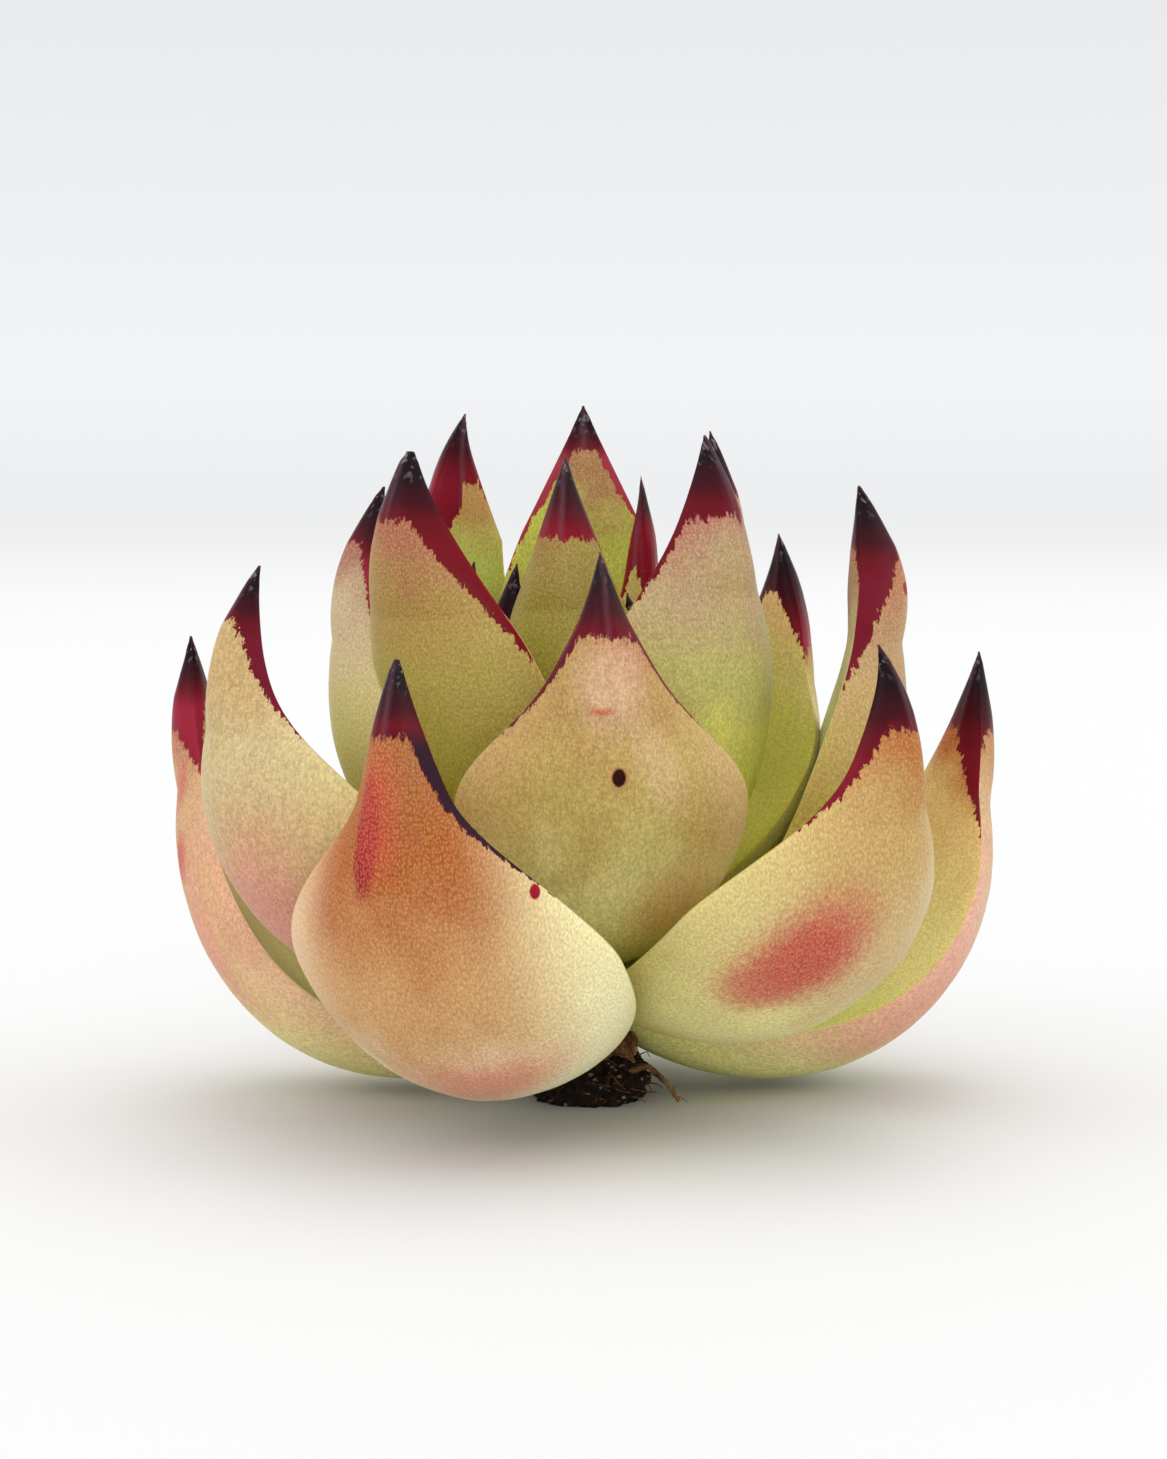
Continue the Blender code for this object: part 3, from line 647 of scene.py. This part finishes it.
    # A mauve-grey streak down the middle of the cap is a painted highlight along its ridge.
    ridge = addNode(tree, "Math", {0: across}, operation="ABSOLUTE")
    ridgeHighlightBand = addNode(tree, "MapRange", {0: ridge, 1: 0.55, 2: 0.0, 3: 0.0, 4: 0.6},
                        interpolation_type="SMOOTHSTEP")
    paintedRidgeHighlight = addNode(tree, "Math", {0: ridgeHighlightBand, 1: streaks}, operation="MULTIPLY")
    pigment = addNode(tree, "Mix", {0: paintedRidgeHighlight, 6: pigment, 7: linear("#6E4854")})
    # The very point is dried; the pale flecks on it are painted glints.
    glintReach = addNode(tree, "MapRange", {0: fromTip, 1: 3.4, 2: 0.2, 3: 0.0, 4: 1.0})
    glintFlecks = addNode(tree, "MapRange", {0: grit, 1: 0.56, 2: 0.66, 3: 0.0, 4: 0.55})
    paintedPointGlints = addNode(tree, "Math", {0: glintReach, 1: glintFlecks}, operation="MULTIPLY")
    pigment = addNode(tree, "Mix", {0: paintedPointGlints, 6: pigment, 7: linear("#9A9096")})
    colour = addNode(tree, "Mix", {0: crimson, 6: skin, 7: pigment})

    satin = addNode(tree, "MapRange", {0: clouds, 1: 0.3, 2: 0.7, 3: 0.40, 4: 0.50})
    rough = addNode(tree, "Mix", {0: crimson, 2: satin, 3: 0.30}).outputs[0]
    cellBumps = addNode(tree, "MapRange", {0: dots, 1: 0.0, 2: 0.5, 3: 1.0, 4: 0.0})
    height = addNode(tree, "Math", {0: streaks, 1: 0.6, 2: cellBumps}, operation="MULTIPLY_ADD")
    bump = addNode(tree, "Bump", {"Height": height, "Strength": 0.5, "Distance": 0.03 * mm})

    feed(tree, shader, {"Base Color": colour, "Roughness": rough, "Normal": bump})
    return finish


# The leaves are built youngest first, each pressed against the younger ones.
trees = []
for rank in reversed(range(leafRule["count"])):
    plan = leafPlan(rank)
    look = {**plainLook, **leafLooks.get(rank, {}), "width": plan["width"]}
    grid = leafGrid(plan, leafRule["rings"], leafRule["sides"], look)
    addRelief(grid, 3.1 * rank, look["lumps"])
    pushed = pressAgainst(grid, trees, look["press"])
    trees.append(gridTree(grid))
    points, places, margins = gridPoints(grid)
    leaf = newMesh(f"leaf{rank + 1:02d}", points, gridFaces(leafRule["rings"], leafRule["sides"]))
    storePlaces(leaf, places, margins)
    settlePiece(leaf, f"leaf_{rank + 1:02d}", leafSkin(rank, look, grid["length"]))
    print(f"leaf {rank + 1}: {grid['length']:.1f} mm long, pressed by up to {pushed.max():.1f} mm")


# One mesh out of several sets of points and faces.
def joined(name, parts):
    points, faces = [], []
    for partPoints, partFaces in parts:
        faces += [tuple(k + len(points) for k in face) for face in partFaces]
        points += [tuple(p) for p in partPoints]
    return newMesh(name, points, faces)


# Numbers that look random and stay the same in every run.
luck = random.Random(21)


# A chance shift in mm, with the least and the most of it along each axis.
def strayed(*ranges):
    return Vector([luck.uniform(*ends) for ends in ranges])


budRule = {"scales": 8, "base": 27.3, "length": 9.4, "skinLength": 9.0, "rings": 46, "sides": 28}

budParts, budPlaces, budMargins = [], [], []
for k in range(budRule["scales"]):
    share = k / (budRule["scales"] - 1)
    foot = budRule["base"] + 2.2 * share
    plan = {
        "azimuth": leafRule["spiral"] * (leafRule["count"] + k), "foot": foot,
        "footRadius": 0.75 - 0.7 * share, "reach": 1.35 - 1.2 * share,
        "height": budRule["base"] + budRule["length"] * (0.72 + 0.28 * share),
        "width": 2.3 - 0.8 * share, "belly": 0.55 - 0.25 * share, "face": 0.25, "start": 62 + 24 * share,
        "startArm": 2.0, "end": 97, "endArm": 2.2, "point": 1.5, "lean": 0.0}
    scaleLook = {**plainLook, "neck": 0.0, "cone": (0.06, 0.22)}
    grid = leafGrid(plan, budRule["rings"], budRule["sides"], scaleLook)
    points, places, margins = gridPoints(grid)
    budParts.append((points, gridFaces(budRule["rings"], budRule["sides"])))
    budPlaces.append(places)
    budMargins.append(margins)
bud = joined("heartBud", budParts)
storePlaces(bud, np.concatenate(budPlaces), np.concatenate(budMargins))
budLook = {
    **plainLook, "width": 6.0, "cap": 2.4, "innerCap": 2.0, "leftRun": (3.4, 0.3), "rightRun": (3.4, 0.3),
    "innerLeftRun": (3.0, 0.3), "innerRightRun": (3.0, 0.3)}
settlePiece(bud, "shoot_tip", leafSkin(leafRule["count"], budLook, budRule["skinLength"]))
print("heart bud done")

stemRule = {"bottom": 3.0, "rings": 200, "sides": 72, "scarDepth": 0.16}


# The stem: pale flesh ringed by the low ridges and dimples where each leaf sits.
def stemPoints():
    points = []
    for i in range(stemRule["rings"]):
        height = stemRule["bottom"] + (stemTop - stemRule["bottom"]) * i / (stemRule["rings"] - 1)
        for j in range(stemRule["sides"]):
            turn = 2 * math.pi * j / stemRule["sides"]
            rank = (height - leafRule["lowestFoot"]) / leafRule["spacing"]
            seat = math.cos(turn - math.radians(leafRule["firstAzimuth"] + leafRule["spiral"] * round(rank)))
            dimple = max(0.0, seat) ** 6 * math.cos(math.pi * (rank - round(rank)))
            rough = noise.noise(Vector((2.5 * math.cos(turn), 2.5 * math.sin(turn), height / 0.9)))
            radius = stemRadiusAt(height) - 0.06 - stemRule["scarDepth"] * dimple + 0.09 * rough
            points.append((radius * math.cos(turn) * mm, radius * math.sin(turn) * mm, height * mm))
    points.append((0, 0, stemTop * mm))
    return points


# Stem flesh: moist and green under the leaves, corky brown and cracked at the foot.
def stemFinish():
    finish, tree, shader = newFinish("stemFlesh", Specular_IOR_Level=0.35, IOR=1.4, Subsurface_Weight=0.2,
                                     Subsurface_Radius=(1.0, 0.7, 0.3), Subsurface_Scale=1.0 * mm)
    spot = addNode(tree, "TexCoord", {}).outputs["Object"]
    height = addNode(tree, "SeparateXYZ", {0: spot}).outputs["Z"]
    fibres = addNode(tree, "Mapping", {
        "Vector": spot, "Scale": (1 / (0.4 * mm), 1 / (0.4 * mm), 1 / (1.6 * mm))})
    patches = addNode(tree, "TexNoise", {"Vector": fibres, "Scale": 1.0, "Detail": 5.0, "Roughness": 0.65})
    corky = addNode(tree, "Math", {0: patches, 1: 5.0 * mm, 2: height}, operation="MULTIPLY_ADD")
    tone = addNode(tree, "MapRange", {0: corky, 1: 8.5 * mm, 2: 12.5 * mm, 3: 0.0, 4: 1.0})
    flesh = addNode(tree, "Mix", {0: patches, 6: linear("#A9B060"), 7: linear("#C9C88A")})
    cork = addNode(tree, "Mix", {0: patches, 6: linear("#3A2415"), 7: linear("#8C6A42")})
    colour = addNode(tree, "Mix", {0: tone, 6: cork, 7: flesh})
    rough = addNode(tree, "MapRange", {0: tone, 1: 0.0, 2: 1.0, 3: 0.85, 4: 0.5})
    bump = addNode(tree, "Bump", {"Height": patches, "Strength": 0.6, "Distance": 0.15 * mm})
    feed(tree, shader, {"Base Color": colour, "Roughness": rough, "Normal": bump})
    return finish


stem = newMesh("stemCore", stemPoints(), gridFaces(stemRule["rings"], stemRule["sides"]))
settlePiece(stem, "stem", stemFinish())
print("stem done")

soilRule = {
    "height": 6.4,
    "reach": (6.6, 0.9, 25.0),       # mm: middle radius, how much it swells to one side, that side's azimuth
    "fineness": 6,
    "lumps": ((0.32, 0.16), (0.9, 0.13), (2.6, 0.07), (6.5, 0.03)),   # cycles per mm, share of the radius
    "crumbs": 240, "crumbSize": (0.12, 0.42),
}


# Dark, damp soil held by the root crown: a ragged lump with crumbs clinging to it, pressed flat underneath.
def soilParts():
    shape = bmesh.new()
    bmesh.ops.create_icosphere(shape, subdivisions=soilRule["fineness"], radius=1.0)
    middle, swell, towards = soilRule["reach"]
    surface = []
    for vertex in shape.verts:
        away = vertex.co.normalized()
        azimuth = math.atan2(away.y, away.x)
        side = middle + swell * math.cos(azimuth - math.radians(towards))
        rough = 1.0
        for pace, share in soilRule["lumps"]:
            rough += share * noise.noise(away * pace * middle + Vector((3.1, 0.7, 5.2 + pace)))
        rough -= 0.10 * max(0.0, noise.noise(away * 4.0 + Vector((9, 2, 4))))
        # Narrower towards the floor, where soil has fallen away.
        low = 1 - 0.22 * max(0.0, 1 - max(0.0, away.z) / 0.35)
        vertex.co = Vector((away.x * side * rough * low, away.y * side * rough * low,
                            max(0.0, away.z * soilRule["height"] * rough))) * mm
        surface.append(vertex.co.copy())
    parts = [([tuple(v.co) for v in shape.verts], [tuple(v.index for v in f.verts) for f in shape.faces])]
    shape.free()
    for k in range(soilRule["crumbs"]):
        spot = surface[luck.randrange(len(surface))]
        if spot.z < 0.2 * mm:
            continue
        size = luck.uniform(*soilRule["crumbSize"]) * mm
        crumb = bmesh.new()
        bmesh.ops.create_icosphere(crumb, subdivisions=2, radius=1.0)
        shift = Vector((luck.random(), luck.random(), luck.random())) * 40
        points = []
        for vertex in crumb.verts:
            grown = size * (1 + 0.45 * noise.noise(vertex.co * 1.3 + shift))
            point = spot + vertex.co * grown
            points.append((point.x, point.y, max(0.0, point.z)))
        parts.append((points, [tuple(v.index for v in f.verts) for f in crumb.faces]))
        crumb.free()
    return parts, surface


# Peat and humus: almost black, without shine, with brown fibres and a few pale mineral grains.
def soilFinish():
    finish, tree, shader = newFinish("dampPeatSoil", Roughness=0.92, Specular_IOR_Level=0.2)
    spot = addNode(tree, "TexCoord", {}).outputs["Object"]
    lumps = addNode(tree, "TexNoise", {
        "Vector": spot, "Scale": 1 / (0.9 * mm), "Detail": 6.0, "Roughness": 0.7})
    grains = addNode(tree, "TexVoronoi", {"Vector": spot, "Scale": 1 / (0.35 * mm)})
    peat = {0.35: "#070504", 0.52: "#1A110B", 0.62: "#33210F", 0.72: "#4E3520"}
    stops = [(share, linear(colour)) for share, colour in peat.items()]
    tone = addNode(tree, "ValToRGB", {0: lumps}, stops)
    rare = addNode(tree, "SeparateXYZ", {0: grains.outputs["Color"]}).outputs["X"]
    pale = addNode(tree, "MapRange", {0: rare, 1: 0.955, 2: 0.965, 3: 0.0, 4: 0.8})
    colour = addNode(tree, "Mix", {0: pale, 6: tone, 7: linear("#8A755A")})
    bump = addNode(tree, "Bump", {"Height": lumps, "Strength": 0.9, "Distance": 0.3 * mm})
    feed(tree, shader, {"Base Color": colour, "Normal": bump})
    return finish


soilPieces, soilSurface = soilParts()
settlePiece(joined("soilClump", soilPieces), "root_clump", soilFinish())
print("soil done")


# A tapering, slightly kinked tube through the given places in mm, as points and faces.
def tube(places, thick, thin, rings, sides, knobbly):
    places = np.array(places, float)
    travelled = np.r_[0, np.cumsum(np.linalg.norm(np.diff(places, axis=0), axis=1))]
    at = np.linspace(0, travelled[-1], rings)
    line = np.stack([np.interp(at, travelled, places[:, k]) for k in range(3)], 1)
    for sweep in range(max(1, rings // 8)):
        line[1:-1] = 0.25 * line[:-2] + 0.5 * line[1:-1] + 0.25 * line[2:]
    points = []
    for i, middle in enumerate(line):
        ahead = Vector(line[min(i + 1, rings - 1)] - line[max(i - 1, 0)]).normalized()
        one = ahead.cross(Vector((0.3, 0.2, 1))).normalized()
        other = ahead.cross(one)
        share = i / (rings - 1)
        for j in range(sides):
            turn = 2 * math.pi * j / sides
            out = one * math.cos(turn) + other * math.sin(turn)
            rough = 1 + knobbly * noise.noise(Vector(middle) * 2.2 + out * 0.8)
            radius = (thick + (thin - thick) * share) * rough
            points.append(tuple((Vector(middle) + out * radius) * mm))
    points.append(tuple(line[-1] * mm))
    return [(x, y, max(0.0, z)) for x, y, z in points], gridFaces(rings, sides)


rootRule = {
    "root_1": ((4.0, -3.0, 3.0), (6.6, -4.2, 3.9), (8.4, -4.8, 2.4), (9.6, -5.2, 0.6)),
    "root_2": ((-3.5, 4.0, 2.2), (-6.5, 7.4, 2.6), (-9.2, 9.8, 0.8), (-12.2, 10.8, 0.5)),
    "root_3": ((3.0, 5.0, 1.8), (4.5, 8.4, 2.0), (4.0, 11.8, 0.6), (5.2, 14.6, 0.5)),
    "thick": 0.36, "thin": 0.2, "rootlets": 5, "hairs": 70,
}


# Dried root bark: brown, lengthwise fibrous and dull.
def barkFinish():
    finish, tree, shader = newFinish("driedRootBark", Roughness=0.82, Specular_IOR_Level=0.25)
    spot = addNode(tree, "TexCoord", {}).outputs["Object"]
    fibres = addNode(tree, "TexNoise", {
        "Vector": spot, "Scale": 1 / (0.22 * mm), "Detail": 4.0, "Roughness": 0.7})
    patches = addNode(tree, "TexNoise", {"Vector": spot, "Scale": 1 / (1.8 * mm), "Detail": 2.0})
    tone = addNode(tree, "Math", {0: fibres, 1: 0.6, 2: -0.3}, operation="MULTIPLY_ADD")
    tone = addNode(tree, "Math", {0: tone, 1: patches}, operation="ADD")
    shade = addNode(tree, "MapRange", {0: tone, 1: 0.3, 2: 0.7, 3: 0.0, 4: 1.0})
    colour = addNode(tree, "Mix", {0: shade, 6: linear("#2E1C10"), 7: linear("#8A6338")})
    bump = addNode(tree, "Bump", {"Height": fibres, "Strength": 0.6, "Distance": 0.06 * mm})
    feed(tree, shader, {"Base Color": colour, "Normal": bump})
    return finish


bark = barkFinish()
for name in ("root_1", "root_2", "root_3"):
    places = rootRule[name]
    rootPieces = [tube(places, rootRule["thick"], rootRule["thin"], 90, 12, 0.35)]
    for k in range(rootRule["rootlets"]):
        share = luck.uniform(0.3, 0.9) * (len(places) - 1)
        first = Vector(places[int(share)]).lerp(Vector(places[int(share) + 1]), share - int(share))
        bend = strayed((-1, 1), (-1, 1), (-0.5, 0.5))
        second = first + bend * 0.8
        third = second + bend * 0.6 + Vector((luck.uniform(-0.4, 0.4), luck.uniform(-0.4, 0.4), -0.3))
        rootPieces.append(tube([first, second, third], 0.09, 0.03, 14, 6, 0.2))
    settlePiece(joined(name.replace("root_", "bareRoot"), rootPieces), name, bark)

hairPieces = []
while len(hairPieces) < rootRule["hairs"]:
    spot = soilSurface[luck.randrange(len(soilSurface))] / mm
    if spot.z < 0.5 or spot.z > 4.6:
        continue
    away = Vector((spot.x, spot.y, 0)).normalized()
    first = spot - away * 0.4
    second = spot + away * luck.uniform(0.3, 0.9) + strayed((-0.5, 0.5), (-0.5, 0.5), (-0.2, 0.4))
    third = second + away * luck.uniform(0.1, 0.9) + strayed((-0.7, 0.7), (-0.7, 0.7), (-0.9, 0.1))
    thick = luck.uniform(0.05, 0.11)
    hairPieces.append(tube([first, second, third], thick, 0.4 * thick, 14, 5, 0.2))
settlePiece(joined("rootHairs", hairPieces), None, bark)
print("roots done")

witheredRule = {
    "azimuth": 305.0, "foot": 6.8, "reach": 9.0, "height": 4.8, "width": 3.6, "belly": 0.5, "face": 0.4,
    "start": -5.0, "startArm": 2.0, "end": -60.0, "endArm": 1.0, "point": 1.2, "lean": 0.0,
    "crumple": 0.28, "rings": 90, "sides": 64,
}


# A withered leaf: papery, brown and streaked along its veins, darker where it has rotted.
def witheredFinish():
    finish, tree, shader = newFinish("witheredLeafPaper", Roughness=0.72, Specular_IOR_Level=0.3)
    place = addNode(tree, "Attribute", {}, attribute_name="leafPlace").outputs["Vector"]
    veins = addNode(tree, "Mapping", {"Vector": place, "Scale": (1 / 0.25, 1 / 2.0, 1.0)})
    streaks = addNode(tree, "TexNoise", {"Vector": veins, "Scale": 1.0, "Detail": 5.0, "Roughness": 0.7})
    paper = {0.30: "#24140B", 0.48: "#5C3A1E", 0.62: "#94683A", 0.75: "#C09A62"}
    stops = [(share, linear(colour)) for share, colour in paper.items()]
    tone = addNode(tree, "ValToRGB", {0: streaks}, stops)
    bump = addNode(tree, "Bump", {"Height": streaks, "Strength": 0.7, "Distance": 0.1 * mm})
    feed(tree, shader, {"Base Color": tone, "Normal": bump})
    return finish


witheredPlan = {**witheredRule, "footRadius": stemRadiusAt(witheredRule["foot"]) - leafRule["footSeat"]}
witheredLook = {**plainLook, "neck": 0.0, "cone": (0.1, 0.25), "cup": 2.2, "twist": 12.0}
grid = leafGrid(witheredPlan, witheredRule["rings"], witheredRule["sides"], witheredLook)
normal = gridNormals(grid["points"])
crumple = np.array([noise.noise(Vector(p / 0.9)) + 0.5 * noise.noise(Vector(p / 0.35))
                    for p in grid["points"].reshape(-1, 3)])
crumple = witheredRule["crumple"] * crumple.reshape(normal.shape[:2])[..., None]
grid["points"] = grid["points"] + crumple * normal
points, places, _ = gridPoints(grid)
withered = newMesh("witheredLeaf", points, gridFaces(witheredRule["rings"], witheredRule["sides"]))
storePlaces(withered, places)
settlePiece(withered, "withered_leaf", witheredFinish())
print("withered leaf done")

stageLook = {
    "floor": "#C9C9C8",
    "floorSide": 12.0,
    # The white tent round the plant, as brightness against the sine of the elevation.
    "tent": ((0.0, 0.862), (0.03, 0.905), (0.14, 0.83), (0.35, 1.05), (0.75, 1.45), (1.0, 1.6)),
    "daylight": (0.985, 0.995, 1.01),
    # Metres and degrees; the focal length and the sensor in mm.
    "camera": {"distance": 0.320, "elevation": 5.0, "pivotHeight": 0.033, "aimHeight": 0.0365,
               "aimSide": 0.0003, "focal": 80.5, "sensor": 36.0},
}

bpy.ops.mesh.primitive_plane_add(size=stageLook["floorSide"], location=(0, 0, 0))
floor = bpy.context.object
floor.name = "floor"
floorPaint, _, floorShader = newFinish("matteWhiteAcrylic", Roughness=0.8, Specular_IOR_Level=0.2)
floorShader.inputs["Base Color"].default_value = linear(stageLook["floor"])
floor.data.materials.append(floorPaint)

world = bpy.data.worlds.new("studioTent")
bpy.context.scene.world = world
world.use_nodes = True
tent = world.node_tree
lookedAt = addNode(tent, "TexCoord", {})
upness = addNode(tent, "SeparateXYZ", {0: lookedAt.outputs["Generated"]})
# The ramp holds half the brightness, and the strength of 2 gives it back.
stops = [(sine, (*[tint * brightness / 2 for tint in stageLook["daylight"]], 1))
         for sine, brightness in stageLook["tent"]]
glow = addNode(tent, "ValToRGB", {0: upness.outputs["Z"]}, stops)
feed(tent, tent.nodes["Background"], {"Color": glow, "Strength": 2.0})


def softBox(name, place, size, power):
    light = bpy.data.lights.new(name, "AREA")
    light.shape = "RECTANGLE"
    light.size, light.size_y = size
    light.energy = power
    made = bpy.data.objects.new(name, light)
    made.location = place
    made.rotation_euler = (Vector((0, 0, 0.03)) - Vector(place)).to_track_quat("-Z", "Y").to_euler()
    bpy.context.scene.collection.objects.link(made)


softBox("backTopSoftBox", (0.1, 1.0, 1.9), (1.2, 1.2), 7.0)
softBox("leftSoftBox", (-1.7, -0.9, 0.9), (1.2, 1.2), 6.0)
softBox("rightSoftBox", (1.8, -0.2, 0.9), (1.2, 1.2), 5.0)
softBox("frontFill", (0.1, -2.2, 0.25), (1.8, 0.8), 13.0)

view = stageLook["camera"]
camera = bpy.data.objects.new("camera", bpy.data.cameras.new("camera"))
tilt = math.radians(view["elevation"])
height = view["pivotHeight"] + view["distance"] * math.sin(tilt)
camera.location = (0, -view["distance"] * math.cos(tilt), height)
aim = Vector((view["aimSide"], 0, view["aimHeight"])) - camera.location
camera.rotation_euler = aim.to_track_quat("-Z", "Y").to_euler()
camera.data.lens = view["focal"]
camera.data.sensor_width = view["sensor"]
camera.data.clip_start = 0.01
bpy.context.scene.collection.objects.link(camera)
bpy.context.scene.camera = camera
bpy.context.scene.view_settings.view_transform = "Standard"
print("stage, light and camera set")
